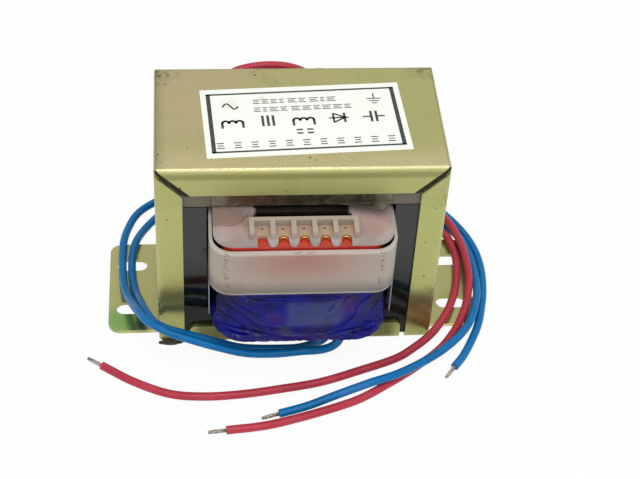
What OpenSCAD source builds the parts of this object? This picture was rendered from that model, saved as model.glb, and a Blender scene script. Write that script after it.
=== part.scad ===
// Laminated mains transformer in a folded channel frame, for bolting to a chassis.
// X runs across the mounting feet, Y through the lamination stack, Z up.
// The origin is the middle of the mounting face, and all sizes are millimetres.

/* [Core] */
// Width of the centre leg of the E laminations
tongue_w = 28.6; // [24:0.2:34]
// Width of each winding window, between the centre leg and an outer leg
window_w = 14.3; // [13.4:0.1:18]
// Height of the winding window
window_h = 43; // [38:0.5:52]
// Width of the outer legs and of both yokes
leg_w = 14.3; // [12:0.1:17]
// Thickness of one lamination sheet
sheet_t = 0.5; // [0.5:0.25:1]
// Number of layers in the stack
sheet_count = 93; // [81:2:101]
// Gap where the legs of an E sheet meet its I sheet
joint_gap = 0.3; // [0.1:0.1:0.6]

/* [Cover] */
// Sheet thickness of the folded cover
cover_t = 1; // [0.8:0.1:1.5]
// Width of the turned lip along the top
top_lip_w = 10; // [8:0.5:12]
// Width of the turned lip down each side
side_lip_w = 8.2; // [7:0.2:9]
// Outer radius of every fold of the cover
fold_r = 1.6; // [1.6:0.1:2.2]
// Open gap of the mitre between the top lip and a side lip
mitre_gap = 1; // [0.6:0.1:1.6]
// Width of each staking tab
tab_w = 8; // [5:0.5:10]
// Distance between the two staking tabs of one side
tab_pitch = 22; // [18:0.5:26]

/* [Base] */
// Sheet thickness of the base plate
base_t = 1.2; // [1:0.1:2]
// Overall length across both feet
foot_l = 121; // [119:1:130]
// Depth of the feet
foot_d = 40; // [37:0.5:42]
// Corner radius of the feet
foot_r = 4; // [2:0.5:6]
// Length of the upturned lips
base_lip_l = 68; // [60:1:69]
// Height of the upturned lips above the mounting face
base_lip_h = 7.4; // [6:0.2:10]
// Corner radius of the upturned lips
base_lip_r = 2; // [1:0.5:4]
// Distance from the end of a fixing slot to the end of its foot
slot_inset = 2.5; // [2:0.5:4]
// Distance between the fixing slots across the feet
slot_pitch_y = 20; // [16:0.5:24]
// Width of a fixing slot
slot_w = 5.2; // [4:0.1:6]
// Length of a fixing slot, end to end
slot_l = 10; // [8:0.5:11]

/* [Bobbin] */
// Wall thickness of the bobbin tube
tube_wall = 1.2; // [0.8:0.1:1.6]
// Thickness of each bobbin flange
flange_t = 1.2; // [1:0.1:1.6]
// Reach of the flanges out of the core, front and back
flange_reach = 16; // [15:0.5:20]
// Corner radius of the flanges
flange_r = 6; // [4:0.5:8]
// Number of pockets in the terminal comb
pocket_count = 5; // [3:1:5]
// Distance from one comb pocket to the next
pocket_pitch = 6.2; // [5.6:0.1:6.4]
// Thickness of the ribs between the pockets
rib_t = 1.5; // [1:0.1:1.8]
// Height of the comb above the top flange
comb_h = 2.4; // [2:0.1:3.4]
// Depth of the comb, from the back of its rear wall to the ends of its ribs
comb_d = 7; // [6:0.5:8]
// Length of the notches in the flange edge
notch_l = 3.8; // [3.2:0.2:5]
// Corner radius of the bottom flange, which the film is folded over
bottom_flange_r = 10; // [8:0.5:11]
// Width of the raised pad beside the comb, from the edge of the flange
pad_w = 9.5; // [9:0.5:10.5]
// Reach of the raised pad out of the core
pad_d = 8; // [6:0.5:9]
// Wall thickness of the shroud around the primary winding
shroud_t = 1; // [0.8:0.1:1.2]
// Height of the shroud
shroud_h = 17.4; // [16:0.2:18]

/* [Windings] */
// Thickness of the red tape over the primary winding
primary_tape_t = 0.4; // [0.2:0.1:0.8]
// How far the red tape is folded in over the ends of the primary winding
tape_fold_w = 7; // [4:0.5:9]
// Thickness of the blue film over the secondary winding
secondary_tape_t = 0.6; // [0.4:0.1:1]
// How far the secondary winding bulges past the flanges at the middle
secondary_bulge = 2; // [0.5:0.5:3]
// Diameter of the enamelled lead-out wires
magnet_wire_d = 0.5; // [0.3:0.05:0.8]

/* [Leads] */
// Outer diameter of a lead's insulation
lead_d = 2.7; // [2.2:0.1:2.8]
// Diameter of the tinned strands
strand_d = 1.3; // [1:0.1:1.6]
// Length of the bare tinned end
strip_l = 5.5; // [4:0.5:8]

/* [Hidden] */

$fn = 48;
eps = 0.01;

// Clearances between neighbouring pieces
sheet_air = 0.02;   // between one lamination sheet and the next
core_fit = 0.1;     // between the core and the cover
stack_fit = 0.3;    // between the stack and the cover's lips
base_fit = 0.1;     // between the stack and the base plate's lips
tab_fit = 0.1;      // around a staking tab in its slot
hem_gap = 0.5;      // between a hem of the cover and the edge of the feet
tube_fit = 0.25;    // between the centre leg and the bobbin tube
window_fit = 0.6;   // above and below the bobbin in the window
coil_fit = 0.1;     // between a winding and the bobbin
shroud_fit = 0.2;   // between the shroud and the flanges
shroud_leg_fit = 0.5; // between the shroud and the outer legs
hole_fit = 0.3;     // around a lead in its hole

// Core
core_w = tongue_w + 2 * window_w + 2 * leg_w;
core_h = window_h + 2 * leg_w;
stack_d = sheet_count * sheet_t;
window_x = tongue_w / 2 + window_w;
window_z = base_t + leg_w;
yoke_z = window_z + window_h;

// Cover
cover_w = core_w + 2 * (core_fit + cover_t);
cover_d = stack_d + 2 * (stack_fit + cover_t);
cover_h = base_t + core_h + core_fit + cover_t;
bend_r = cover_t + 3 * core_fit;  // outer radius of the two bends over the core
open_x = cover_w / 2 - side_lip_w;
open_z = cover_h - top_lip_w;

// Base plate: its lips stand in one plane with the cover's lips
base_d = stack_d + 2 * (base_fit + base_t);
base_fold_r = base_t + base_fit;
slot_pitch_x = foot_l - 2 * slot_inset - slot_l;

// Bobbin
tube_w = tongue_w + 2 * (tube_fit + tube_wall);
tube_d = stack_d + 2 * (tube_fit + tube_wall);
shroud_x = window_x - shroud_leg_fit;
shroud_half_d = stack_d / 2 + flange_reach + shroud_fit + shroud_t;
flange_w = 2 * (shroud_x - shroud_t - shroud_fit);
flange_d = stack_d + 2 * flange_reach;
bobbin_z = window_z + window_fit;
bobbin_h = window_h - 2 * window_fit;
section_h = (bobbin_h - 3 * flange_t) / 2;
middle_z = bobbin_z + flange_t + section_h;
top_z = bobbin_z + bobbin_h;
notch_w = pocket_pitch / 2;
notch_y = flange_d / 2 - notch_l + notch_w / 2;  // middle of the round root of a notch
comb_w = pocket_count * pocket_pitch + rib_t;
comb_rear_y = notch_y - comb_d;
pin_d = 0.9;       // pin hole in the floor of a pocket
pin_inset = 1.2;   // from the rear wall to a pin hole
relief_inset = 0.8;  // from the tube to the relief slot behind the comb
relief_margin = 0.4; // from the relief slot to the comb
pad_r = 4.5;
pad_h = 0.4;

// Shroud
rim_gap = 1.3;     // between the underside of the top flange and the rim of the shroud
shroud_z = top_z - flange_t - rim_gap - shroud_h;
scallop_x = [-2.4, 1.6];
scallop_r = 1.8;
scallop_depth = 0.9;

// Windings
primary_z = middle_z + flange_t + coil_fit;
primary_h = section_h - 2 * coil_fit;
secondary_z = bobbin_z + flange_t + coil_fit;
primary_r = 6;
secondary_r = 11;
lead_hole_y = flange_d / 2 - 2.75;

// Rounded block standing on z = 0, centred in X and Y, with its upright edges rounded.
module rounded_block(w, d, h, r) {
    translate([-w / 2 + r, -d / 2, 0]) cube([w - 2 * r, d, h]);
    translate([-w / 2, -d / 2 + r, 0]) cube([w, d - 2 * r, h]);
    for (x = [-1, 1], y = [-1, 1])
        translate([x * (w / 2 - r), y * (d / 2 - r), 0]) cylinder(r = r, h = h);
}

// Box from z0 to z1, rounded by fold_r where a lip turns in and by bend_r over the core.
module folded_block(w, d, z0, z1, fold_r, bend_r) {
    h = z1 - z0;
    intersection() {
        translate([0, 0, z0]) rounded_block(w, d, h, fold_r);
        translate([-w / 2, 0, z0 + h / 2]) rotate([0, 90, 0]) rounded_block(h, d, w, fold_r);
        translate([0, d / 2, z1 - h]) rotate([90, 0, 0]) rounded_block(w, 2 * h, d, bend_r);
    }
}

// Bar of round section between two points.
module rod(a, b, d) {
    v = b - a;
    translate(a) rotate([0, acos(v.z / norm(v)), atan2(v.y, v.x)]) cylinder(d = d, h = norm(v));
}

// Slot through a sheet, long along X, with round ends.
module long_slot(l, w, h) {
    translate([-(l - w) / 2, -w / 2, 0]) cube([l - w, w, h]);
    for (x = [-1, 1]) translate([x * (l - w) / 2, 0, 0]) cylinder(d = w, h = h);
}

// ---- Frame ----

// Gap of one mitre, from the corner of the opening to the corner of the box.
module mitre_cut() {
    run = side_lip_w;
    rise = top_lip_w - fold_r;
    translate([open_x, 0, open_z]) rotate([0, -atan2(rise, run), 0])
        translate([-mitre_gap, -cover_d, -mitre_gap / 2])
            cube([norm([run, rise]) + 2 * mitre_gap, 2 * cover_d, mitre_gap]);
}

// Cover: one sheet folded into a channel and bent round the core, with its
// side lips hemmed inwards at the bottom and two tabs staked into the base on each side.
module frame_cover() {
    inner_w = cover_w - 2 * cover_t;
    inner_d = cover_d - 2 * cover_t;
    color("#b5ad6c") {
        difference() {
            folded_block(cover_w, cover_d, 0, cover_h, fold_r, bend_r);
            folded_block(inner_w, inner_d, cover_t, cover_h - cover_t, fold_r - cover_t,
                bend_r - cover_t);
            translate([-open_x, -cover_d, -1]) cube([2 * open_x, 2 * cover_d, open_z + 1]);
            translate([-cover_w, -foot_d / 2 - hem_gap, -1])
                cube([2 * cover_w, foot_d + 2 * hem_gap, base_t + 1]);
            for (x = [-1, 1])
                translate([x * (inner_w / 2 + cover_w) - cover_w, -cover_d, -1])
                    cube([2 * cover_w, 2 * cover_d, base_t + 1]);
            difference() {
                for (side = [0, 1]) mirror([side, 0, 0]) mitre_cut();
                translate([-cover_w, -inner_d / 2, 0]) cube([2 * cover_w, inner_d, 2 * cover_h]);
            }
        }
        for (x = [-1, 1], y = [-1, 1])
            translate([x * (cover_w - cover_t) / 2 - cover_t / 2, y * tab_pitch / 2 - tab_w / 2, 0])
                cube([cover_t, tab_w, base_t + eps]);
    }
}

// Base plate: two feet with fixing slots, and a lip turned up at the front and the back.
module base_plate() {
    color("#a8a262") difference() {
        union() {
            rounded_block(foot_l, foot_d, base_t, foot_r);
            intersection() {
                difference() {
                    translate([-base_lip_l / 2, 0, base_lip_h]) rotate([0, 90, 0])
                        rounded_block(2 * base_lip_h, base_d, base_lip_l, base_fold_r);
                    translate([-base_lip_l, 0, base_lip_h]) rotate([0, 90, 0])
                        rounded_block(2 * (base_lip_h - base_t), base_d - 2 * base_t,
                            2 * base_lip_l, base_fold_r - base_t);
                }
                translate([0, base_d, -base_lip_h]) rotate([90, 0, 0])
                    translate([0, base_lip_h, 0])
                        rounded_block(base_lip_l, 2 * base_lip_h, 2 * base_d, base_lip_r);
            }
        }
        for (x = [-1, 1], y = [-1, 1]) {
            translate([x * slot_pitch_x / 2, y * slot_pitch_y / 2, -1])
                long_slot(slot_l, slot_w, base_t + 2);
            translate([x * (cover_w - cover_t) / 2 - cover_t / 2 - tab_fit,
                    y * tab_pitch / 2 - tab_w / 2 - tab_fit, -1])
                cube([cover_t + 2 * tab_fit, tab_w + 2 * tab_fit, base_t + 2]);
        }
    }
}

// ---- Core ----

// Sheet number k of the stack, counted from the front, drawn as its outline.
module sheet(k) {
    translate([0, -stack_d / 2 + (k + 1) * sheet_t - sheet_air / 2, base_t]) rotate([90, 0, 0])
        linear_extrude(sheet_t - sheet_air) children();
}

// E outline with its yoke at the bottom and its three legs up.
module e_outline() {
    tip = leg_w + window_h - joint_gap;
    polygon([
        [-core_w / 2, 0], [core_w / 2, 0], [core_w / 2, tip], [window_x, tip], [window_x, leg_w],
        [tongue_w / 2, leg_w], [tongue_w / 2, tip], [-tongue_w / 2, tip], [-tongue_w / 2, leg_w],
        [-window_x, leg_w], [-window_x, tip], [-core_w / 2, tip]
    ]);
}

// I outline, closing the legs at the top.
module i_outline() {
    translate([-core_w / 2, leg_w + window_h]) square([core_w, leg_w]);
}

// Turns an outline upside down within the height of the core.
module inverted() {
    translate([0, core_h]) mirror([0, 1]) children();
}

module e_sheets_upright() {
    color("#2b2b2d") for (k = [0:2:sheet_count - 1]) sheet(k) e_outline();
}

module i_sheets_top() {
    color("#5c574e") for (k = [0:2:sheet_count - 1]) sheet(k) i_outline();
}

module e_sheets_inverted() {
    color("#343436") for (k = [1:2:sheet_count - 1]) sheet(k) inverted() e_outline();
}

module i_sheets_bottom() {
    color("#4a4742") for (k = [1:2:sheet_count - 1]) sheet(k) inverted() i_outline();
}

// ---- Bobbin ----

// Comb on the top flange at the back: a rear wall and the ribs of the pockets.
module comb() {
    translate([-comb_w / 2, comb_rear_y, top_z - eps]) cube([comb_w, rib_t, comb_h + eps]);
    for (i = [0:pocket_count])
        translate([(i - pocket_count / 2) * pocket_pitch - rib_t / 2, comb_rear_y, top_z - eps])
            cube([rib_t, comb_d, comb_h + eps]);
}

// Notches in the edge of the top flange, the rounding of the fingers between them,
// the slot behind the comb and a pin hole in each pocket.
module comb_cuts() {
    edge_y = flange_d / 2;
    for (i = [0:pocket_count - 1])
        translate([(i - (pocket_count - 1) / 2) * pocket_pitch, 0, top_z - flange_t - 1]) {
            translate([0, notch_y, 0]) cylinder(d = notch_w, h = flange_t + 2);
            translate([-notch_w / 2, notch_y, 0]) cube([notch_w, notch_l, flange_t + 2]);
            translate([0, comb_rear_y + rib_t + pin_inset, 0]) cylinder(d = pin_d, h = flange_t + 2);
        }
    for (i = [1:pocket_count - 1])
        translate([(i - pocket_count / 2) * pocket_pitch, edge_y - notch_w / 2, top_z - flange_t - 1])
            difference() {
                translate([-notch_w / 2, 0, 0]) cube([notch_w, notch_w, flange_t + 2]);
                translate([0, 0, -1]) cylinder(d = notch_w, h = flange_t + 4);
            }
    relief_y = tube_d / 2 + relief_inset;
    translate([-comb_w / 2 + rib_t, relief_y, top_z - flange_t - 1])
        cube([comb_w - 2 * rib_t, comb_rear_y - relief_margin - relief_y, flange_t + 2]);
}

// Raised pad on the top flange at the front left, against the core, with one round corner.
module pad() {
    h = pad_h + eps;
    translate([-flange_w / 2, -stack_d / 2 - pad_d, top_z - eps]) {
        cube([pad_w - pad_r, pad_d, h]);
        translate([0, pad_r, 0]) cube([pad_w, pad_d - pad_r, h]);
        translate([pad_w - pad_r, pad_r, 0]) cylinder(r = pad_r, h = h);
    }
}

// Bobbin: a square tube with three flanges, moulded in one piece with a comb front and back.
module bobbin() {
    color("#e6e2dc") difference() {
        union() {
            translate([-tube_w / 2, -tube_d / 2, bobbin_z]) cube([tube_w, tube_d, bobbin_h]);
            translate([0, 0, bobbin_z])
                rounded_block(flange_w, flange_d, flange_t, bottom_flange_r);
            for (z = [middle_z, top_z - flange_t])
                translate([0, 0, z]) rounded_block(flange_w, flange_d, flange_t, flange_r);
            for (back = [0, 1]) mirror([0, back, 0]) comb();
            pad();
        }
        translate([-tongue_w / 2 - tube_fit, -stack_d / 2 - tube_fit, bobbin_z - 1])
            cube([tongue_w + 2 * tube_fit, stack_d + 2 * tube_fit, bobbin_h + 2]);
        for (back = [0, 1]) mirror([0, back, 0]) comb_cuts();
        for (route = [secondary_route_1, secondary_route_2])
            translate([route[0].x, -lead_hole_y, bobbin_z - 1])
                cylinder(d = lead_d + 2 * hole_fit, h = flange_t + 2);
    }
}

// Shroud half: a band bent round three sides of the primary winding.
module shroud_half() {
    w = 2 * shroud_x;
    color("#efe9e2") difference() {
        translate([0, 0, shroud_z])
            rounded_block(w, 2 * shroud_half_d, shroud_h, flange_r + shroud_t);
        translate([0, 0, shroud_z - 1])
            rounded_block(w - 2 * shroud_t, 2 * (shroud_half_d - shroud_t), shroud_h + 2, flange_r);
        translate([-w, -shroud_fit, shroud_z - 1]) cube([2 * w, 2 * shroud_half_d, shroud_h + 2]);
        for (x = scallop_x)
            translate([x, -shroud_half_d + shroud_t / 2, shroud_z + shroud_h + scallop_r - scallop_depth])
                rotate([90, 0, 0]) cylinder(r = scallop_r, h = shroud_t);
    }
}

module shroud_front() {
    shroud_half();
}

module shroud_back() {
    mirror([0, 1, 0]) shroud_half();
}

// ---- Windings ----

// Opening for the bobbin tube through a winding.
module tube_opening(z, h) {
    translate([-tube_w / 2 - coil_fit, -tube_d / 2 - coil_fit, z])
        cube([tube_w + 2 * coil_fit, tube_d + 2 * coil_fit, h]);
}

primary_half_w = flange_w / 2 - 0.3 - primary_tape_t;
primary_half_d = flange_d / 2 - 0.3 - primary_tape_t;

module primary_winding() {
    end_gap = primary_tape_t + coil_fit / 2;
    color("#b5652f") difference() {
        translate([0, 0, primary_z + end_gap])
            rounded_block(2 * primary_half_w, 2 * primary_half_d, primary_h - 2 * end_gap, primary_r);
        tube_opening(primary_z - 1, primary_h + 2);
    }
}

// Red tape: a band round the winding, folded in over both of its ends.
module primary_tape() {
    w = 2 * primary_half_w + coil_fit;
    d = 2 * primary_half_d + coil_fit;
    color("#c4302b") difference() {
        translate([0, 0, primary_z])
            rounded_block(w + 2 * primary_tape_t, d + 2 * primary_tape_t, primary_h,
                primary_r + primary_tape_t);
        translate([0, 0, primary_z + primary_tape_t])
            rounded_block(w, d, primary_h - 2 * primary_tape_t, primary_r);
        translate([-tube_w / 2 - coil_fit, -d / 2 + tape_fold_w, primary_z - 1])
            cube([tube_w + 2 * coil_fit, d - 2 * tape_fold_w, primary_h + 2]);
    }
}

// Secondary winding and its film share one section: a block with round corners,
// crowned towards the middle of the front and the back.
secondary_half_w = flange_w / 2 - 0.4 - secondary_tape_t;
secondary_half_d = flange_d / 2 + secondary_bulge - secondary_tape_t;

// Body of the winding from z up, grown all round, and drawn back at the front and the back.
module secondary_body(grow, z, h, draw_back) {
    crown = 7;
    half_w = secondary_half_w + grow;
    half_d = secondary_half_d + grow - draw_back;
    crown_r = (pow(half_w, 2) + pow(crown, 2)) / (2 * crown);
    translate([0, 0, z]) intersection() {
        rounded_block(2 * half_w, 2 * half_d, h, secondary_r);
        translate([0, -half_d + crown_r, 0]) cylinder(r = crown_r, h = h, $fn = 96);
        translate([0, half_d - crown_r, 0]) cylinder(r = crown_r, h = h, $fn = 96);
    }
}

module secondary_winding() {
    h = section_h - 2 * coil_fit;
    color("#b5652f") difference() {
        secondary_body(0, secondary_z, h, secondary_bulge);
        tube_opening(secondary_z - 1, h + 2);
    }
}

// Blue film: wound tight over the coil, and folded over the edges of the flanges
// above and below it.
module secondary_tape() {
    h = section_h - 2 * coil_fit;
    waist = 2;
    skirt_t = 0.5;
    lap = 0.8;
    top_skirt_t = 0.3;
    color("#1f2fae") difference() {
        union() {
            hull() {
                secondary_body(secondary_tape_t, secondary_z, h * 0.15, secondary_bulge);
                secondary_body(secondary_tape_t, secondary_z + h * 0.3, h * 0.4, 0);
                secondary_body(secondary_tape_t, secondary_z + h - eps, eps, waist);
            }
            translate([0, 0, bobbin_z])
                rounded_block(flange_w + 2 * skirt_t, flange_d + 2 * skirt_t, flange_t + coil_fit + lap,
                    bottom_flange_r + skirt_t);
            translate([0, 0, middle_z - coil_fit - lap])
                rounded_block(flange_w + 2 * top_skirt_t, flange_d + 2 * top_skirt_t,
                    flange_t + coil_fit + lap, flange_r + top_skirt_t);
        }
        secondary_body(coil_fit / 2, secondary_z, h + 1, secondary_bulge);
        translate([0, 0, bobbin_z - 1])
            rounded_block(flange_w + coil_fit, flange_d + coil_fit, flange_t + coil_fit + 1,
                bottom_flange_r);
        translate([0, 0, middle_z - coil_fit])
            rounded_block(flange_w + coil_fit, flange_d + coil_fit, flange_t + coil_fit + 1, flange_r);
        tube_opening(bobbin_z - 1, 2 * h + 2 * flange_t);
    }
}

// Enamelled copper loops in the front notches, where the primary wire leaves its section.
module primary_wire_ends() {
    color("#d99a3a") for (i = [1:pocket_count - 1])
        translate([(i - (pocket_count - 1) / 2) * pocket_pitch, -notch_y, top_z - flange_t / 2])
            rotate_extrude(angle = 180, $fn = 32)
                translate([notch_w / 2 - magnet_wire_d / 2 - 0.15, 0]) circle(d = magnet_wire_d, $fn = 16);
}

// ---- Insulation ----

// Varnished paper between the top yoke and the coil, with a loose flap over the flange.
module yoke_insulation() {
    paper_t = 0.2;
    paper_fit = 0.05;
    paper_h = 8.15;
    face_y = -stack_d / 2 - paper_fit;
    half_w = shroud_x - 1.1;
    flap_l = 6;
    flap_fold = 1.2;   // height of the fold above the edge of the strip
    flap_droop = 19;
    edge_z = top_z + 1;
    color("#4b4635") {
        translate([-half_w, face_y - paper_t, edge_z]) cube([2 * half_w, paper_t, paper_h]);
        translate([0, face_y, edge_z + flap_fold]) rotate([-flap_droop, 0, 0])
            translate([0, 0, -paper_t]) linear_extrude(paper_t)
                polygon([[1, 0], [half_w, 0], [half_w - 3, -flap_l], [half_w / 2 + 1, -flap_l / 2]]);
    }
}

// Film between the secondary coil and an outer leg, on the right.
module leg_liner() {
    film_t = 0.3;
    film_fit = 0.35;   // between the film and the leg
    film_reach = 10;   // out of the core, front and back
    film_h = 14;
    color("#d8dade")
        translate([window_x - film_fit - film_t, -stack_d / 2 - film_reach, middle_z - film_h])
            cube([film_t, stack_d + 2 * film_reach, film_h]);
}

module leg_liner_left() {
    mirror([1, 0, 0]) leg_liner();
}

module leg_liner_right() {
    leg_liner();
}

// ---- Leads ----
// Each route lists the points of a lead's centre line, from where it leaves the coil.

secondary_route_1 = [
    [13, -36.5, 16.4], [12.6, -36.6, 12.6], [10.4, -36.3, 9.4], [6.6, -35.8, 7.4], [1.2, -35, 6.1],
    [-7.6, -34.8, 5], [-16.7, -35.3, 6.2], [-25.1, -35, 8.8], [-33, -34, 11.2],
    [-39.6, -32.4, 12.8], [-44.1, -30.6, 14], [-48, -26.9, 13.6], [-50.4, -21.4, 11.6],
    [-52.2, -15.8, 8.8], [-54.4, -8, 5.4], [-55.7, -0.5, 3.4], [-56.2, 7, 2.7], [-56.3, 14, 2.7],
    [-56, 20.5, 2.7], [-54.6, 28, 1.6], [-52, 34.5, 1.4], [-47.5, 39.5, 1.4], [-38, 46, 1.4],
    [-26, 51.5, 1.4], [-12, 55, 1.4], [2, 56.5, 1.4], [16, 56, 1.4], [30, 53, 1.4], [42, 47.5, 1.4],
    [51.5, 39, 1.4], [58, 30, 1.4], [62.2, 22, 1.4], [64.7, 13.5, 1.4], [65.4, 4.5, 1.4],
    [64.6, -5, 1.4], [62.8, -13.5, 1.4], [60.6, -21, 1.4], [57.4, -28, 1.4], [53.8, -34.5, 1.4],
    [50.4, -39, 1.4]
];
secondary_route_2 = [
    [8.5, -36.5, 16.4], [8.3, -35, 12.4], [6.8, -32.7, 8], [3, -30.9, 4], [-2.6, -30.8, 2.9],
    [-16.6, -31.6, 4.4], [-25.1, -31.3, 7], [-33, -30.7, 9.6], [-38.8, -29.7, 11],
    [-42.4, -28.6, 11.7], [-45.7, -25.8, 11.6], [-47.9, -20.8, 10.4], [-49.8, -13.4, 7.4],
    [-51.4, -6.5, 4.4], [-52.6, 0.5, 2.8], [-53.1, 7, 2.7], [-52.9, 13.5, 2.7], [-51.8, 20, 2.7],
    [-48.5, 28, 1.5], [-42, 36.5, 1.4], [-34, 42.8, 1.4], [-20, 49, 1.4], [5, 52.8, 1.4],
    [19, 51.8, 1.4], [32, 47.8, 1.4], [43, 41, 1.4], [52, 31.8, 1.4], [57.8, 23.6, 1.7],
    [60.2, 18, 2.75], [61.5, 12.2, 2.8], [62.4, 5.5, 2.8], [62.3, -4, 3.3], [61, -12, 4.1],
    [56.3, -24, 4.3], [46.5, -34.5, 4.3], [33, -43.2, 4.5], [21.5, -47.6, 4.3], [11, -51, 3],
    [2, -54, 1.8], [-7, -56.5, 1.4]
];
primary_route_1 = [
    [6.2, 32, 59.6], [6.2, 37, 59.6], [4, 41.5, 59], [-1, 44.5, 58.6], [-7, 45.5, 58.3],
    [-13, 45, 57.9], [-18.5, 44, 56.5], [-23, 42.8, 52], [-26, 42.5, 45], [-27.5, 42.5, 36],
    [-28, 43, 26], [-27, 44.5, 16], [-23.5, 48, 9], [-17, 52, 5.5], [-8, 54.4, 4.4], [3, 55, 4.3],
    [16, 54, 4.3], [29, 50, 4.3], [41, 43.7, 4.3], [50, 35.5, 4.3], [56, 26, 4.7], [59, 16, 5],
    [60, 6.5, 5], [59.8, -2.5, 4.8], [58.3, -10.5, 3.8], [55.7, -18, 3], [52, -24.6, 2.2],
    [46.6, -31.2, 1.4], [39, -37.8, 1.4], [33, -42.3, 1.4], [28, -45.6, 1.4], [21.5, -49.8, 1.4],
    [15, -53, 1.4], [2, -57.5, 1.4], [-11, -61, 1.4], [-23.5, -62.5, 1.4]
];
primary_route_2 = [
    [12.4, 32, 59.7], [12.2, 37.2, 59.7], [10.6, 41.4, 58.4], [6, 43.8, 55.8], [-1, 44.2, 52.4],
    [-8, 43, 47.5], [-13.5, 42.5, 40.5], [-16.5, 42.5, 31], [-17, 43, 21], [-15, 44.5, 12],
    [-10, 46.5, 5.5], [-2, 48, 2], [10, 48.2, 1.4], [24, 45, 1.4], [36, 39, 1.4], [47, 30, 1.8],
    [54.6, 21, 2.9], [56.8, 13.5, 2.8], [57, 6.5, 2.8], [55.8, -2, 2.8], [53.3, -10.5, 2.9],
    [49.6, -18.5, 3.3], [44.3, -26, 3.1], [38, -31, 2], [31.5, -35, 1.4], [20, -39.5, 1.4],
    [7, -44, 1.4], [-6, -46.5, 1.4], [-18.5, -48.3, 1.4], [-30.5, -48.8, 1.4], [-41, -47.3, 1.4],
    [-52, -42, 1.4], [-62, -35, 1.4]
];
lead_sides = 8;
ring_pitch = 2.6 * lead_d;

function unit(v) = v / norm(v);

// Point at t on the smooth curve from p[1] to p[2], through four neighbouring points.
function blend(p, t) = 0.5 * (2 * p[1] + (p[2] - p[0]) * t
    + (2 * p[0] - 5 * p[1] + 4 * p[2] - p[3]) * t * t
    + (3 * p[1] - p[0] - 3 * p[2] + p[3]) * t * t * t);

// Route with one more point beyond each end, so that the curve reaches both ends.
function extended(p) = concat([2 * p[0] - p[1]], p, [2 * p[len(p) - 1] - p[len(p) - 2]]);

// Points of the centre line, one ring pitch or less apart.
function centre_line(p) = let (e = extended(p)) concat(
    [for (i = [1:len(e) - 3])
        let (n = ceil(norm(e[i + 1] - e[i]) / ring_pitch), q = [e[i - 1], e[i], e[i + 1], e[i + 2]])
            for (j = [0:n - 1]) blend(q, j / n)],
    [p[len(p) - 1]]);

// Direction of the centre line at each of its points.
function directions(c) = [for (i = [0:len(c) - 1])
    unit(c[min(i + 1, len(c) - 1)] - c[max(i - 1, 0)])];

// One normal for each point, carried along the line without twisting.
function normals(t, i = 0, out = []) = i == len(t) ? out :
    let (v = i == 0 ? cross(t[0], [0.3, 0.2, 1]) : out[i - 1], n = unit(v - (v * t[i]) * t[i]))
        normals(t, i + 1, concat(out, [n]));

module lead(route, tint) {
    c = centre_line(route);
    t = directions(c);
    n = normals(t);
    rings = len(c);
    points = [for (i = [0:rings - 1]) let (b = cross(t[i], n[i]))
        for (k = [0:lead_sides - 1]) let (a = 360 * (k + 0.5) / lead_sides)
            c[i] + lead_d / 2 * (cos(a) * n[i] + sin(a) * b)];
    walls = [for (i = [0:rings - 2], k = [0:lead_sides - 1])
        let (m = (k + 1) % lead_sides, r = i * lead_sides)
            [r + k, r + lead_sides + k, r + lead_sides + m, r + m]];
    start = [for (k = [0:lead_sides - 1]) k];
    end = [for (k = [lead_sides - 1:-1:0]) (rings - 1) * lead_sides + k];
    color(tint) polyhedron(points, concat(walls, [start, end]), convexity = 10);
}

// Tinned strands that stand out of the end of a lead.
module tip(route) {
    c = centre_line(route);
    last = c[len(c) - 1];
    forward = unit(last - c[len(c) - 2]);
    color("#b9b8b2") rod(last, last + strip_l * forward, strand_d);
}

module primary_lead_1() {
    lead(primary_route_1, "#c8384c");
}

module primary_lead_2() {
    lead(primary_route_2, "#c8384c");
}

module secondary_lead_1() {
    lead(secondary_route_1, "#1f72b8");
}

module secondary_lead_2() {
    lead(secondary_route_2, "#1f72b8");
}

module primary_tip_1() {
    tip(primary_route_1);
}

module primary_tip_2() {
    tip(primary_route_2);
}

module secondary_tip_1() {
    tip(secondary_route_1);
}

module secondary_tip_2() {
    tip(secondary_route_2);
}

frame_cover();
base_plate();
e_sheets_upright();
i_sheets_top();
e_sheets_inverted();
i_sheets_bottom();
bobbin();
primary_winding();
primary_tape();
secondary_winding();
secondary_tape();
shroud_front();
shroud_back();
yoke_insulation();
leg_liner_left();
leg_liner_right();
primary_wire_ends();
primary_lead_1();
primary_lead_2();
secondary_lead_1();
secondary_lead_2();
primary_tip_1();
primary_tip_2();
secondary_tip_1();
secondary_tip_2();
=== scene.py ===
import math

import bmesh
import bpy
from mathutils import Matrix, Vector, noise


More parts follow.
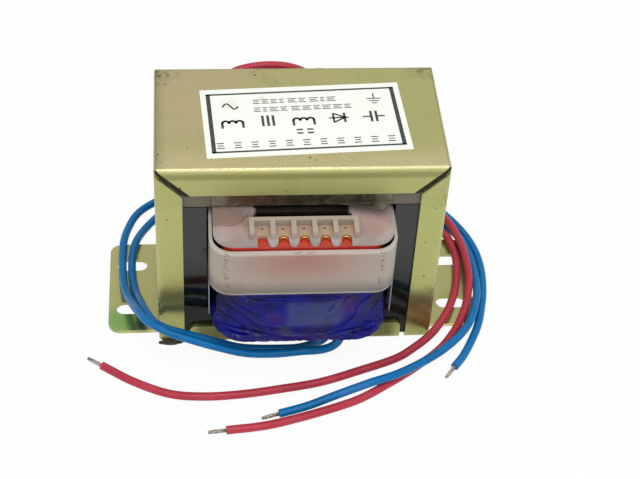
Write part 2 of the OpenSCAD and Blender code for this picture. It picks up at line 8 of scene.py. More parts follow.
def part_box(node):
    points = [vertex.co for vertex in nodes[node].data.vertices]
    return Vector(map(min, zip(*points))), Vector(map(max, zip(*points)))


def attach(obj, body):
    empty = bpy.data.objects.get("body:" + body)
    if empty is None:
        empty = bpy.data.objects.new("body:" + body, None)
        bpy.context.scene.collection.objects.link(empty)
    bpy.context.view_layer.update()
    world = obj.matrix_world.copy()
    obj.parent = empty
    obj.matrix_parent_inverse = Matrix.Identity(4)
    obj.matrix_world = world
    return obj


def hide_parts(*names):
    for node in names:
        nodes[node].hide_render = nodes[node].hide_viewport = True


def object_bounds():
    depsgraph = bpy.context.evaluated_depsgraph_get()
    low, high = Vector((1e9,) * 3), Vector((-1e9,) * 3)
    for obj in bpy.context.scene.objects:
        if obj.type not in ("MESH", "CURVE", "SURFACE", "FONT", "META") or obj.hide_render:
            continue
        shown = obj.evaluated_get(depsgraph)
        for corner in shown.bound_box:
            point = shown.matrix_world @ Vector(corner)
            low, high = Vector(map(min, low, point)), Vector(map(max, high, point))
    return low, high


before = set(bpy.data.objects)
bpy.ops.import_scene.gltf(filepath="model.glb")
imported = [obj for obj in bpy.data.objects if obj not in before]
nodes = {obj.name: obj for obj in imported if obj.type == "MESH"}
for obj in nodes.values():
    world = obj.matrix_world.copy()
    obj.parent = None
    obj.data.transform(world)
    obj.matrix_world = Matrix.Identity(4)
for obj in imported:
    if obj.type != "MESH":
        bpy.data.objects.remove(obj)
cad_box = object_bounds()
mm = 0.001


# ---- Camera ----
# A long lens looks down on the front from a little to the left, and is held slightly askew.

CAMERA_AIM = Vector((8.9, 0, 21.5)) * mm
CAMERA_AZIMUTH = math.radians(-6.8)
CAMERA_ELEVATION = math.radians(43.9)
CAMERA_ROLL = math.radians(3.76)
CAMERA_DISTANCE = 510 * mm
CAMERA_LENS = 87.5

back = Vector((
    math.sin(CAMERA_AZIMUTH) * math.cos(CAMERA_ELEVATION),
    -math.cos(CAMERA_AZIMUTH) * math.cos(CAMERA_ELEVATION),
    math.sin(CAMERA_ELEVATION),
))
level = Vector((math.cos(CAMERA_AZIMUTH), math.sin(CAMERA_AZIMUTH), 0))
turn = Matrix.Rotation(CAMERA_ROLL, 3, back)
across = turn @ level
upward = turn @ back.cross(level)
camera = bpy.data.objects.new("camera", bpy.data.cameras.new("camera"))
bpy.context.collection.objects.link(camera)
camera.data.lens = CAMERA_LENS
camera.data.sensor_width = 36
camera.data.clip_start = 0.01
camera.matrix_world = (
    Matrix.Translation(CAMERA_AIM + back * CAMERA_DISTANCE)
    @ Matrix((across, upward, back)).transposed().to_4x4()
)
bpy.context.scene.camera = camera
bpy.context.scene.view_settings.view_transform = "Standard"


# ---- Leads ----
# Four lengths of stranded wire in soft PVC, two red from the primary and two blue from the
# secondary. They were bent round the frame by hand and lie loose on the bench behind and
# before it. Each end is stripped and its strands are twisted and tinned.


class Value:
    """A number in a finish's node tree. Python arithmetic on it adds the Math nodes."""

    def __init__(self, finish, socket):
        self.finish = finish
        self.socket = socket

    def math(self, operation, first, second=0.0):
        return self.finish.node("ShaderNodeMath", {"operation": operation}, {0: first, 1: second})

    def __add__(self, other):
        return self.math("ADD", self, other)

    def __radd__(self, other):
        return self.math("ADD", other, self)

    def __sub__(self, other):
        return self.math("SUBTRACT", self, other)

    def __rsub__(self, other):
        return self.math("SUBTRACT", other, self)

    def __mul__(self, other):
        return self.math("MULTIPLY", self, other)

    def __rmul__(self, other):
        return self.math("MULTIPLY", other, self)

    def __abs__(self):
        return self.math("ABSOLUTE", self)

    def sine(self):
        return self.math("SINE", self)

    def least(self, other):
        return self.math("MINIMUM", self, other)

    def most(self, other):
        return self.math("MAXIMUM", self, other)

    def between(self, low, high):
        """0 at low and 1 at high, with a soft start and end."""
        return self.finish.node(
            "ShaderNodeMapRange",
            {"interpolation_type": "SMOOTHSTEP"},
            {"Value": self, "From Min": low, "From Max": high},
        )


class Finish:
    """A material on one Principled surface, with its coordinates in millimetres."""

    def __init__(self, name, **constants):
        self.material = bpy.data.materials.new(name)
        self.material.use_nodes = True
        self.tree = self.material.node_tree
        self.surface = self.tree.nodes["Principled BSDF"]
        for socket, value in constants.items():
            self.surface.inputs[socket.replace("_", " ")].default_value = value
        metres = self.node("ShaderNodeTexCoord", {}, {}, "Object")
        self.place = self.node(
            "ShaderNodeVectorMath", {"operation": "SCALE"}, {0: metres, "Scale": 1000.0}
        )
        self.x = self.node("ShaderNodeSeparateXYZ", {}, {0: self.place}, "X")
        self.y = self.node("ShaderNodeSeparateXYZ", {}, {0: self.place}, "Y")
        self.z = self.node("ShaderNodeSeparateXYZ", {}, {0: self.place}, "Z")

    def node(self, kind, settings, inputs, output=0):
        """Adds a node, gives it its settings, and then its values and links."""
        made = self.tree.nodes.new(kind)
        for name, value in settings.items():
            setattr(made, name, value)
        for name, value in inputs.items():
            if isinstance(value, Value):
                self.tree.links.new(value.socket, made.inputs[name])
            else:
                made.inputs[name].default_value = value
        return Value(self, made.outputs[output])

    def colour(self, red, green, blue):
        """A colour from its values on a screen, from 0 to 255."""
        return tuple(linear(v / 255) for v in (red, green, blue)) + (1.0,)

    def mix(self, first, second, factor):
        return self.node(
            "ShaderNodeMix", {"data_type": "RGBA"}, {0: factor, 6: first, 7: second}, 2
        )

    def tone(self, colour, strength):
        """A colour made darker or lighter by a factor."""
        base = colour if isinstance(colour, Value) else colour[:3]
        return self.node(
            "ShaderNodeVectorMath", {"operation": "SCALE"}, {0: base, "Scale": strength}
        )

    def stretched(self, x, y, z):
        """The place with each axis multiplied, so that noise on it is drawn out or pressed."""
        return self.node(
            "ShaderNodeVectorMath", {"operation": "MULTIPLY"}, {0: self.place, 1: (x, y, z)}
        )

    def clouds(self, size, detail=3.0, place=None, warp=0.0):
        """Noise from 0 to 1 whose patches are about size millimetres across."""
        vector = place or self.place
        return self.node(
            "ShaderNodeTexNoise", {},
            {"Vector": vector, "Scale": 1 / size, "Detail": detail, "Distortion": warp}, "Fac",
        )

    def distance(self, x, y, z):
        """Distance to a point in millimetres."""
        return self.node(
            "ShaderNodeVectorMath", {"operation": "DISTANCE"},
            {0: self.place, 1: (x, y, z)}, "Value",
        )

    def near(self, x, y, z, inner, outer):
        """1 within inner of a point and 0 past outer."""
        return 1.0 - self.distance(x, y, z).between(inner, outer)

    def set(self, socket, value):
        """Links a value to one of the surface's sockets."""
        self.tree.links.new(value.socket, self.surface.inputs[socket])

    def relief(self, height, depth):
        """Gives the surface a relief as deep as depth, in millimetres, for a height of 0 to 1."""
        bump = self.node(
            "ShaderNodeBump", {}, {"Strength": 1.0, "Distance": depth * mm, "Height": height}
        )
        self.set("Normal", bump)

    def cover(self, *pieces):
        for piece in pieces:
            piece.data.materials.clear()
            piece.data.materials.append(self.material)


def linear(value):
    """The linear value of one screen colour channel."""
    return value / 12.92 if value <= 0.04045 else ((value + 0.055) / 1.055) ** 2.4


def pvc(name, colour):
    """Soft PVC: even in colour, a little dusty, with a low gloss."""
    finish = Finish(name, IOR=1.32, Subsurface_Weight=0.05, Subsurface_Scale=0.001)
    dust = finish.clouds(9, detail=5).between(0.5, 0.75)
    grain = finish.clouds(0.5, detail=2)
    tint = finish.mix(colour, finish.tone(colour, 0.82), finish.clouds(14).between(0.35, 0.7))
    pale = finish.colour(200, 190, 186)
    finish.set("Base Color", finish.mix(tint, pale, dust * 0.03))
    finish.set("Roughness", 0.16 + dust * 0.14 + grain * 0.05)
    finish.relief(grain, 0.02)
    return finish


def smooth(mesh):
    """Shades a mesh as a round surface."""
    for face in mesh.polygons:
        face.use_smooth = True


def mesh_piece(name, bm, rounded=True):
    """Turns a bmesh into an object that stays at the origin."""
    mesh = bpy.data.meshes.new(name)
    bm.to_mesh(mesh)
    bm.free()
    if rounded:
        smooth(mesh)
    piece = bpy.data.objects.new(name, mesh)
    bpy.context.collection.objects.link(piece)
    return piece


def with_ends(route):
    """A route with one more point past each end, to set the curve's direction there."""
    return [2 * route[0] - route[1]] + route + [2 * route[-1] - route[-2]]


def insulated_wire(name, route):
    """A smooth round curve through a route's points, at their real places."""
    curve = bpy.data.curves.new(name, "CURVE")
    curve.dimensions = "3D"
    curve.bevel_depth = LEAD_DIAMETER / 2
    curve.bevel_resolution = 6
    curve.resolution_u = 12
    curve.use_fill_caps = True
    spline = curve.splines.new("BEZIER")
    spline.bezier_points.add(len(route) - 1)
    points = with_ends(route)
    for i, knot in enumerate(spline.bezier_points, start=1):
        pull = (points[i + 1] - points[i - 1]) / 6
        knot.handle_left_type = "FREE"
        knot.handle_right_type = "FREE"
        knot.co = points[i]
        knot.handle_left = points[i] - pull
        knot.handle_right = points[i] + pull
    piece = bpy.data.objects.new(name, curve)
    bpy.context.collection.objects.link(piece)
    return piece


def route_length(route):
    """Length of the curve through a route's points."""
    points = with_ends(route)
    steps = 24
    length = 0.0
    for i in range(1, len(points) - 2):
        a, b, c, d = points[i - 1 : i + 3]
        last = b
        for step in range(1, steps + 1):
            t = step / steps
            here = 0.5 * (
                2 * b
                + (c - a) * t
                + (2 * a - 5 * b + 4 * c - d) * t**2
                + (3 * b - a - 3 * c + d) * t**3
            )
            length += (here - last).length
            last = here
    return length


def tinned_end(name, start, forward):
    """Seven strands twisted together and wetted with solder, standing out of a cut end."""
    strand = TIP_DIAMETER / 6
    swollen = strand * 1.12
    bm = bmesh.new()
    steps = 26
    for i in range(6):
        angle = i * math.pi / 3
        outward = Vector((math.cos(angle), math.sin(angle), 0))
        across = Vector((-math.sin(angle), math.cos(angle), 0))
        flat = Matrix((across.cross(outward), outward, across)).transposed().to_4x4()
        ring = bmesh.ops.create_circle(
            bm, segments=10, radius=swollen, cap_ends=True,
            matrix=Matrix.Translation(outward * 2 * strand) @ flat,
        )
        bmesh.ops.spin(
            bm, geom=[f for f in bm.faces if all(v in ring["verts"] for v in f.verts)],
            cent=(0, 0, 0), axis=(0, 0, 1), dvec=(0, 0, STRIP_LENGTH / steps),
            angle=TIP_TURNS * 2 * math.pi, steps=steps, use_merge=False,
        )
    bmesh.ops.create_cone(
        bm, segments=16, radius1=strand * 2.3, radius2=strand * 2.1, depth=STRIP_LENGTH,
        cap_ends=True, matrix=Matrix.Translation((0, 0, STRIP_LENGTH / 2)),
    )
    for vertex in bm.verts:
        taper = 1 - TIP_TAPER * (vertex.co.z / STRIP_LENGTH) ** 3
        vertex.co.x *= taper
        vertex.co.y *= taper
    bmesh.ops.recalc_face_normals(bm, faces=bm.faces)
    aim = forward.to_track_quat("Z", "Y").to_matrix().to_4x4()
    bmesh.ops.transform(bm, matrix=Matrix.Translation(start) @ aim, verts=bm.verts)
    return mesh_piece(name, bm)


LEAD_DIAMETER = 2.7 * mm
TIP_DIAMETER = 1.3 * mm
STRIP_LENGTH = 5.5 * mm
TIP_TURNS = 0.9
TIP_TAPER = 0.22

outer_blue = [Vector(p) * mm for p in (
    (13, -36.5, 16.4), (12.6, -36.6, 12.6), (10.4, -36.3, 9.4), (6.6, -35.8, 7.4), (1.2, -35, 6.1),
    (-7.6, -34.8, 5), (-16.7, -35.3, 6.2), (-25.1, -35, 8.8), (-33, -34, 11.2),
    (-39.6, -32.4, 12.8), (-44.1, -30.6, 14), (-48, -26.9, 13.6), (-50.4, -21.4, 11.6),
    (-52.2, -15.8, 8.8), (-54.4, -8, 5.4), (-55.7, -0.5, 3.4), (-56.2, 7, 2.7), (-56.3, 14, 2.7),
    (-56, 20.5, 2.7), (-54.6, 28, 1.6), (-52, 34.5, 1.4), (-47.5, 39.5, 1.4), (-38, 46, 1.4),
    (-26, 51.5, 1.4), (-12, 55, 1.4), (2, 56.5, 1.4), (16, 56, 1.4), (30, 53, 1.4), (42, 47.5, 1.4),
    (51.5, 39, 1.4), (58, 30, 1.4), (62.2, 22, 1.4), (64.7, 13.5, 1.4), (65.4, 4.5, 1.4),
    (64.6, -5, 1.4), (62.8, -13.5, 1.4), (60.6, -21, 1.4), (57.4, -28, 1.4), (53.8, -34.5, 1.4),
    (50.4, -39, 1.4),
)]
inner_blue = [Vector(p) * mm for p in (
    (8.5, -36.5, 16.4), (8.3, -35, 12.4), (6.8, -32.7, 8), (3, -30.9, 4), (-2.6, -30.8, 2.9),
    (-16.6, -31.6, 4.4), (-25.1, -31.3, 7), (-33, -30.7, 9.6), (-38.8, -29.7, 11),
    (-42.4, -28.6, 11.7), (-45.7, -25.8, 11.6), (-47.9, -20.8, 10.4), (-49.8, -13.4, 7.4),
    (-51.4, -6.5, 4.4), (-52.6, 0.5, 2.8), (-53.1, 7, 2.7), (-52.9, 13.5, 2.7), (-51.8, 20, 2.7),
    (-48.5, 28, 1.5), (-42, 36.5, 1.4), (-34, 42.8, 1.4), (-20, 49, 1.4), (5, 52.8, 1.4),
    (19, 51.8, 1.4), (32, 47.8, 1.4), (43, 41, 1.4), (52, 31.8, 1.4), (57.8, 23.6, 1.7),
    (60.2, 18, 2.75), (61.5, 12.2, 2.8), (62.4, 5.5, 2.8), (62.3, -4, 3.3), (61, -12, 4.1),
    (56.3, -24, 4.3), (46.5, -34.5, 4.3), (33, -43.2, 4.5), (21.5, -47.6, 4.3), (11, -51, 3),
    (2, -54, 1.8), (-7, -56.5, 1.4),
)]
outer_red = [Vector(p) * mm for p in (
    (6.2, 32, 59.6), (6.2, 37, 59.6), (4, 41.5, 59), (-1, 44.5, 58.6), (-7, 45.5, 58.3),
    (-13, 45, 57.9), (-18.5, 44, 56.5), (-23, 42.8, 52), (-26, 42.5, 45), (-27.5, 42.5, 36),
    (-28, 43, 26), (-27, 44.5, 16), (-23.5, 48, 9), (-17, 52, 5.5), (-8, 54.4, 4.4), (3, 55, 4.3),
    (16, 54, 4.3), (29, 50, 4.3), (41, 43.7, 4.3), (50, 35.5, 4.3), (56, 26, 4.7), (59, 16, 5),
    (60, 6.5, 5), (59.8, -2.5, 4.8), (58.3, -10.5, 3.8), (55.7, -18, 3), (52, -24.6, 2.2),
    (46.6, -31.2, 1.4), (39, -37.8, 1.4), (33, -42.3, 1.4), (28, -45.6, 1.4), (21.5, -49.8, 1.4),
    (15, -53, 1.4), (2, -57.5, 1.4), (-11, -61, 1.4), (-23.5, -62.5, 1.4),
)]
inner_red = [Vector(p) * mm for p in (
    (12.4, 32, 59.7), (12.2, 37.2, 59.7), (10.6, 41.4, 58.4), (6, 43.8, 55.8), (-1, 44.2, 52.4),
    (-8, 43, 47.5), (-13.5, 42.5, 40.5), (-16.5, 42.5, 31), (-17, 43, 21), (-15, 44.5, 12),
    (-10, 46.5, 5.5), (-2, 48, 2), (10, 48.2, 1.4), (24, 45, 1.4), (36, 39, 1.4), (47, 30, 1.8),
    (54.6, 21, 2.9), (56.8, 13.5, 2.8), (57, 6.5, 2.8), (55.8, -2, 2.8), (53.3, -10.5, 2.9),
    (49.6, -18.5, 3.3), (44.3, -26, 3.1), (38, -31, 2), (31.5, -35, 1.4), (20, -39.5, 1.4),
    (7, -44, 1.4), (-6, -46.5, 1.4), (-18.5, -48.3, 1.4), (-30.5, -48.8, 1.4), (-41, -47.3, 1.4),
    (-52, -42, 1.4), (-62, -35, 1.4),
)]

red_pvc = pvc("red_pvc", (0.5, 0.042, 0.07, 1))
blue_pvc = pvc("blue_pvc", (0.0, 0.165, 0.45, 1))

solder = Finish("solder", Metallic=1.0)
solder_spots = solder.clouds(0.5, detail=4)
solder.set("Base Color", solder.mix(
    solder.colour(146, 138, 128), solder.colour(214, 208, 200), solder_spots.between(0.35, 0.65)
))
solder.set("Roughness", 0.3 + solder_spots * 0.3)
solder.relief(solder_spots, 0.08)

for node, route, wire_finish in (
    ("secondary_lead_1", outer_blue, blue_pvc),
    ("secondary_lead_2", inner_blue, blue_pvc),
    ("primary_lead_1", outer_red, red_pvc),
    ("primary_lead_2", inner_red, red_pvc),
):
    tip = node.replace("lead", "tip")
    wire = insulated_wire(node + "_wire", route)
    wire_finish.cover(wire)
    strands = tinned_end(tip + "_strands", route[-1], route[-1] - route[-2])
    solder.cover(strands)
    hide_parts(node)
    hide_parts(tip)
    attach(wire, "root")
    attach(strands, "root")
    route_length(route)


# ---- Frame ----
# Two pieces of mild steel sheet, punched, folded and plated with zinc, which a yellow
# passivation turns olive and gold with faint rainbow patches. The cover is bent over the core
# and its tabs are staked into the base plate. The folds are rubbed pale in handling.

COVER_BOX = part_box("frame_cover")
COVER_HALF_WIDTH = COVER_BOX[1][0] / mm
COVER_HALF_DEPTH = COVER_BOX[1][1] / mm
COVER_TOP = COVER_BOX[1][2] / mm
FOOT_TOP = 1.2


def plating(name):
    """Yellow passivated zinc on rolled sheet, with scratches, stains and rubbed folds."""
    finish = Finish(name)
    olive = finish.colour(178, 180, 112)
    straw = finish.colour(188, 180, 126)
    rose = finish.colour(196, 178, 138)
    broad = finish.clouds(34, detail=4, warp=0.6)
    mottle = finish.clouds(7, detail=5)
    fine = finish.clouds(0.8, detail=3)

    # The top is warmest, and more so at the left and the back. The feet are a little warm.
    upward = finish.z.between(COVER_TOP - 0.9, COVER_TOP - 0.2)
    foot = 1.0 - finish.z.between(FOOT_TOP + 0.3, FOOT_TOP + 1.3)
    left = 1.0 - finish.x.between(-44, 26)
    behind = finish.y.between(-10, 16)
    warmth = upward * (0.3 + left * 0.4 + behind * 0.25) + (1.0 - upward) * left * 0.1
    warmth = (warmth + foot * 0.35 + broad.between(0.4, 0.66) * 0.35 - 0.1).most(0.0).least(1.0)
    colour = finish.mix(olive, finish.mix(straw, rose, left * upward * 0.8), warmth)

    # Green patches and rainbow stains on the feet, with a painted highlight on their front rim, and
    # a lip that is darker and greener low down, partly tint and partly painted reflection, with a
    # painted reflection of the red lead in brown at the right.
    green = finish.colour(142, 160, 88)
    tinge = finish.clouds(17, detail=3, place=finish.stretched(1, 1, 0.5)).between(0.58, 0.72)
    colour = finish.mix(colour, green, tinge * 0.35)
    # Painted highlight: the front edge of each foot is painted pale.
    foot_rim_highlight = foot * (1.0 - finish.y.between(-19.95, -19.7)) * abs(finish.x).between(44, 45)
    colour = finish.mix(colour, finish.colour(232, 220, 150), foot_rim_highlight)
    front_left = finish.near(-56, -15, 1, 2, 9)
    colour = finish.mix(colour, finish.colour(122, 172, 92), front_left * 0.9)
    teal = finish.near(-49.5, -17.5, 1, 0.5, 5)
    colour = finish.mix(colour, finish.colour(62, 96, 84), teal * 0.8)
    lip = 1.0 - finish.y.between(-24.2, -23)
    low_lip = lip * (1.0 - finish.z.between(8, 30)) * (1.0 - foot)
    # The low lip is tinted green and darkened. The darkening, and the band about 17 mm up, are
    # painted reflection.
    lip_tint_and_reflection = finish.clouds(9, detail=4, place=finish.stretched(1, 1, 0.6)).between(0.4, 0.65)
    colour = finish.mix(colour, finish.colour(150, 152, 78), low_lip * (0.25 + lip_tint_and_reflection * 0.5))
    painted_reflection_band = 1.0 - abs(finish.z - 17 - lip_tint_and_reflection * 4).between(1.5, 7)
    colour = finish.mix(colour, finish.colour(112, 110, 66), lip * (1.0 - foot) * painted_reflection_band * 0.6)
    # Painted reflection of the red lead, in brown low on the right of the lip.
    red_lead_reflection = lip * finish.near(41, -25, 13, 3, 12) * (1.0 - foot)
    colour = finish.mix(colour, finish.colour(120, 76, 46), red_lead_reflection * 0.6)

    # A painted dark reflection in a line under the front fold, and a painted highlight in a pale
    # strip on the top behind it.
    dark_reflection_under_fold = 1.0 - abs(finish.z - COVER_TOP + 2.6).between(0.5, 1.7)
    dark_reflection_under_fold = dark_reflection_under_fold * (1.0 - finish.y.between(-24.5, -23.8))
    colour = finish.mix(colour, finish.colour(128, 124, 66), dark_reflection_under_fold * 0.6)
    front_top_highlight = upward * (1.0 - finish.y.between(-22, -12))
    colour = finish.mix(colour, finish.colour(206, 194, 146), front_top_highlight * 0.75)

    # Fine scratches, and four long ones at the front right: two arcs and two straight lines.
    across = finish.clouds(2.4, detail=1, place=finish.stretched(1, 0.09, 1), warp=1.4)
    along = finish.clouds(2.1, detail=1, place=finish.stretched(0.12, 1, 1), warp=1.8)
    scratch = 1.0 - abs(across - 0.5).between(0.0, 0.006)
    scratch = scratch.most(1.0 - abs(along - 0.5).between(0.0, 0.005))
    scratch = scratch * finish.clouds(12, detail=2).between(0.55, 0.68) * 0.6
    swing = finish.distance(30, -44, COVER_TOP) + finish.clouds(14) * 3.0
    arc = 1.0 - abs(swing - 26.5).between(0.0, 0.16)
    arc = arc.most(1.0 - abs(swing - 24.6).between(0.0, 0.1))
    straight = finish.y * 0.96 + finish.x * 0.27 + finish.clouds(9) * 0.6
    straight = (1.0 - abs(straight + 12.9).between(0.0, 0.13)).most(
        1.0 - abs(straight + 11.2).between(0.0, 0.09)
    )
    corner = finish.x.between(8, 16) * (1.0 - finish.x.between(40, 43)) * upward
    arc = (arc * 0.8).most(straight) * corner * finish.clouds(3).between(0.35, 0.5)
    scratch = scratch.most(arc)
    colour = finish.mix(colour, finish.colour(226, 218, 190), scratch * 0.5)

    # Folds rubbed pale, and bare tin-coloured metal at the front right corner.
    side_fold = abs(finish.x).between(COVER_HALF_WIDTH - 1.3, COVER_HALF_WIDTH - 0.5)
    top_fold = finish.z.between(COVER_TOP - 1.3, COVER_TOP - 0.6)
    front_fold = abs(finish.y).between(COVER_HALF_DEPTH - 1.5, COVER_HALF_DEPTH - 0.9)
    fold = (side_fold * top_fold).most(side_fold * front_fold).most(top_fold * front_fold)
    scuff = finish.clouds(1.1, detail=4).between(0.47, 0.6)
    rubbed = fold * scuff * finish.clouds(8, detail=2).between(0.36, 0.56)
    colour = finish.mix(colour, finish.colour(214, 208, 170), rubbed * 0.35)
    tin = finish.near(COVER_HALF_WIDTH, -COVER_HALF_DEPTH, COVER_TOP, 0.6, 4.5) * scuff
    colour = finish.mix(colour, finish.colour(208, 204, 190), tin * 0.7)

    # Specks, soot at the back corners, and dark joints where the lips meet at the mitres.
    speck = finish.clouds(1.5, detail=2).between(0.69, 0.72)
    speck = speck * finish.clouds(11, detail=2).between(0.5, 0.62)
    grime = finish.clouds(0.8, detail=3).between(0.57, 0.66)
    corner_smoke = finish.near(-41, 22, COVER_TOP, 1, 8)
    corner_smoke = corner_smoke.most(finish.near(40.5, 22, COVER_TOP, 1, 7))
    corner_smoke = corner_smoke * finish.clouds(3, detail=3).between(0.35, 0.65)
    colour = finish.mix(colour, finish.colour(108, 102, 76), corner_smoke * 0.6)
    left_edge = (1.0 - finish.x.between(-44, -39.5)) * upward
    colour = finish.mix(colour, finish.colour(138, 136, 92), left_edge * 0.5)
    mitre = abs(finish.z - abs(finish.x) - (COVER_TOP - COVER_HALF_WIDTH) + 0.6)
    mitre = (1.0 - mitre.between(1.0, 1.3)) * (1.0 - finish.y.between(-24.2, -23.4))
    mitre = mitre * finish.z.between(57.5, 59)
    soiled = finish.near(-42, 19, COVER_TOP, 2, 6).most(finish.near(-43, -18, COVER_TOP, 1, 5))
    soiled = soiled.most(finish.near(-12, 20.5, COVER_TOP, 1, 4))
    soiled = soiled.most(finish.near(-5, 15.5, COVER_TOP, 0.5, 3))
    speck = speck.most(grime * soiled)
    under = (1.0 - foot) * (1.0 - finish.z.between(1.0, 4.0)) * grime
    crack = 1.0 - abs(finish.clouds(2.6, detail=2, warp=1.5) - 0.5).between(0.004, 0.016)
    crack = crack * finish.near(COVER_HALF_WIDTH, -COVER_HALF_DEPTH, 62, 1.5, 6)
    dark = speck.most(under * 0.8).most(crack).most(mitre)
    colour = finish.mix(colour, finish.colour(58, 48, 26), dark * 0.85)
    colour = finish.mix(colour, finish.colour(36, 28, 16), mitre)

    # Painted shade: the lip of the base is made darker where the coil stands over it.
    painted_shade_under_coil = (1.0 - abs(finish.x).between(30, 34)) * (1.0 - finish.y.between(-23.4, -22.6))
    painted_shade_under_coil = painted_shade_under_coil * (1.0 - finish.z.between(7.6, 8.6)) * finish.z.between(0.2, 1.4)
    colour = finish.tone(colour, (0.94 + mottle * 0.12) * (1.0 - painted_shade_under_coil * 0.6))
    finish.set("Base Color", colour)
    hazy = finish.z.between(57, 61) * lip * (1.0 - upward)
    finish.set("Metallic", 0.7 - (dark * 0.6 + rubbed * 0.15 + tin * 0.1).most(hazy * 0.35))
    roughness = 0.2 + mottle * 0.1 + scratch * 0.2 + dark * 0.35
    finish.set("Roughness", roughness + rubbed * 0.2 + hazy * 0.25)
    finish.relief(mottle * 0.7 + fine * 0.1 - scratch * 0.06 - speck * 0.3 - rubbed * 0.1, 0.06)
    return finish


zinc = plating("passivated_zinc")
zinc.cover(nodes["frame_cover"], nodes["base_plate"])

# Varnish ran out under the hem of the cover at the front left, and dried there.
CRUST_PLACE = Vector((-40.2, -25.3, 1.0))
CRUST_SIZE = Vector((3.6, 0.75, 0.95))
bm = bmesh.new()
bmesh.ops.create_icosphere(bm, subdivisions=5, radius=1)
for vertex in bm.verts:
    lump = 1 + 0.35 * noise.noise(vertex.co * 2.2) + 0.12 * noise.noise(vertex.co * 7)
    vertex.co = (CRUST_PLACE + vertex.co * CRUST_SIZE * lump) * mm
    vertex.co.z = max(vertex.co.z, 0.0)
crust = mesh_piece("varnish_crust", bm)
crust_finish = Finish("dried_varnish", IOR=1.5)
crust_grain = crust_finish.clouds(0.7, detail=4)
crust_finish.set("Base Color", crust_finish.mix(
    crust_finish.colour(44, 38, 26), crust_finish.colour(98, 90, 62), crust_grain.between(0.4, 0.7)
))
crust_finish.set("Roughness", 0.35 + crust_grain * 0.3)
crust_finish.relief(crust_grain, 0.25)
crust_finish.cover(crust)
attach(crust, "root")


# ---- Core ----
# Silicon steel laminations, E and I, laid in turn from either side and dipped in black
# varnish with the coil in place. The varnish is glossy, thick and a little wavy on the faces.


def dipped(name, dark, light, gloss):
    """Varnished steel: a dark tone under a clear wavy gloss, thin near the floor."""
    finish = Finish(name, IOR=1.28, Coat_IOR=1.5, Coat_Roughness=0.03)
    wave = finish.clouds(13, detail=2, place=finish.stretched(1, 1, 0.8))
    runs = finish.clouds(2.5, detail=3, place=finish.stretched(1, 1, 0.35))
    patch = finish.clouds(5, detail=4).between(0.4, 0.7)
    finish.set("Base Color", finish.mix(light, dark, patch))
    finish.set("Roughness", gloss + runs * 0.07)
    finish.set("Coat Weight", 0.05 + (finish.z + wave * 6).between(18, 46) * 0.75)
    finish.relief(wave + runs * 0.2, 0.16)
    return finish


varnish = dipped("black_varnish", (0.003, 0.004, 0.003, 1), (0.008, 0.012, 0.009, 1), 0.05)
varnish.cover(nodes["e_sheets_upright"], nodes["e_sheets_inverted"], nodes["i_sheets_bottom"])

yoke_finish = Finish("grey_varnish", IOR=1.5)
yoke_stain = yoke_finish.clouds(6, detail=5, place=yoke_finish.stretched(1, 1, 1.4))
edge_grain = yoke_finish.clouds(0.6, detail=3, place=yoke_finish.stretched(0.2, 1, 1))
yoke_tone = yoke_finish.mix(
    yoke_finish.colour(54, 44, 34), yoke_finish.colour(60, 56, 36), yoke_finish.x.between(-14, 6)
)
yoke_tone = yoke_finish.mix(
    yoke_tone, yoke_finish.colour(98, 86, 62), yoke_stain.between(0.45, 0.75) * 0.6
)
yoke_ends = abs(yoke_finish.x).between(26, 28)
yoke_tone = yoke_finish.mix(yoke_tone, yoke_finish.colour(108, 102, 84), yoke_ends)
yoke_finish.set("Base Color", yoke_tone)
yoke_finish.set("Roughness", 0.3 + edge_grain * 0.25)
yoke_finish.relief(edge_grain + yoke_stain, 0.08)
yoke_finish.cover(nodes["i_sheets_top"])


# ---- Bobbin ----
# One moulding in natural nylon, cloudy and slightly see-through. Red tape and copper under it
# tint it pink and orange where the wall is thin, and varnish has stained it behind the left end of
# the comb. The gap behind the comb is painted nearly black as shade.

BOBBIN_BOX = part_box("bobbin")
FLANGE_HALF_DEPTH = BOBBIN_BOX[1][1] / mm
FLANGE_TOP = 57.9
COMB_TOP = BOBBIN_BOX[1][2] / mm
COMB_HALF_WIDTH = 14.6
COMB_BACK = 31.5

nylon = Finish("natural_nylon", IOR=1.53, Subsurface_Weight=0.12, Subsurface_Scale=0.0015)
cloud = nylon.clouds(9, detail=4)
haze = nylon.clouds(1.2, detail=3)
milk = nylon.mix(
    nylon.colour(156, 142, 137), nylon.colour(176, 164, 160), cloud.between(0.35, 0.65)
)
above = nylon.z.between(FLANGE_TOP - 0.1, FLANGE_TOP + 0.4)
raised = nylon.z.between(FLANGE_TOP + 0.7, COMB_TOP - 0.4)
comb_width = 1.0 - abs(nylon.x).between(COMB_HALF_WIDTH, COMB_HALF_WIDTH + 1)
pocket = abs(nylon.y).between(COMB_BACK - 0.2, COMB_BACK + 0.2)
pocket = pocket * (1.0 - abs(nylon.y).between(COMB_BACK + 4, COMB_BACK + 6))
milk = nylon.mix(milk, nylon.colour(186, 156, 128), pocket * comb_width * (1.0 - raised) * 0.85)
pocket_wall = 1.0 - abs(abs(nylon.y) - COMB_BACK).between(0.1, 0.4)
pocket_wall = pocket_wall * comb_width * (1.0 - raised) * above
milk = nylon.mix(milk, nylon.colour(158, 152, 138), pocket_wall * 0.8)
blush = nylon.near(20.5, -31, FLANGE_TOP, 1, 8)
blush = blush.most(nylon.near(-19.5, -32, FLANGE_TOP, 0, 7) * 0.7)
milk = nylon.mix(milk, nylon.colour(196, 140, 134), blush * (1.0 - raised) * 0.45)
pad_tint = (1.0 - nylon.x.between(-19, -16.5)) * (1.0 - abs(nylon.y + 27).between(4.0, 4.6))
milk = nylon.mix(milk, nylon.colour(132, 104, 88), pad_tint * above * (0.4 + cloud * 0.5))
stain = nylon.near(-15.8, -27.5, FLANGE_TOP, 0.5, 4.5)
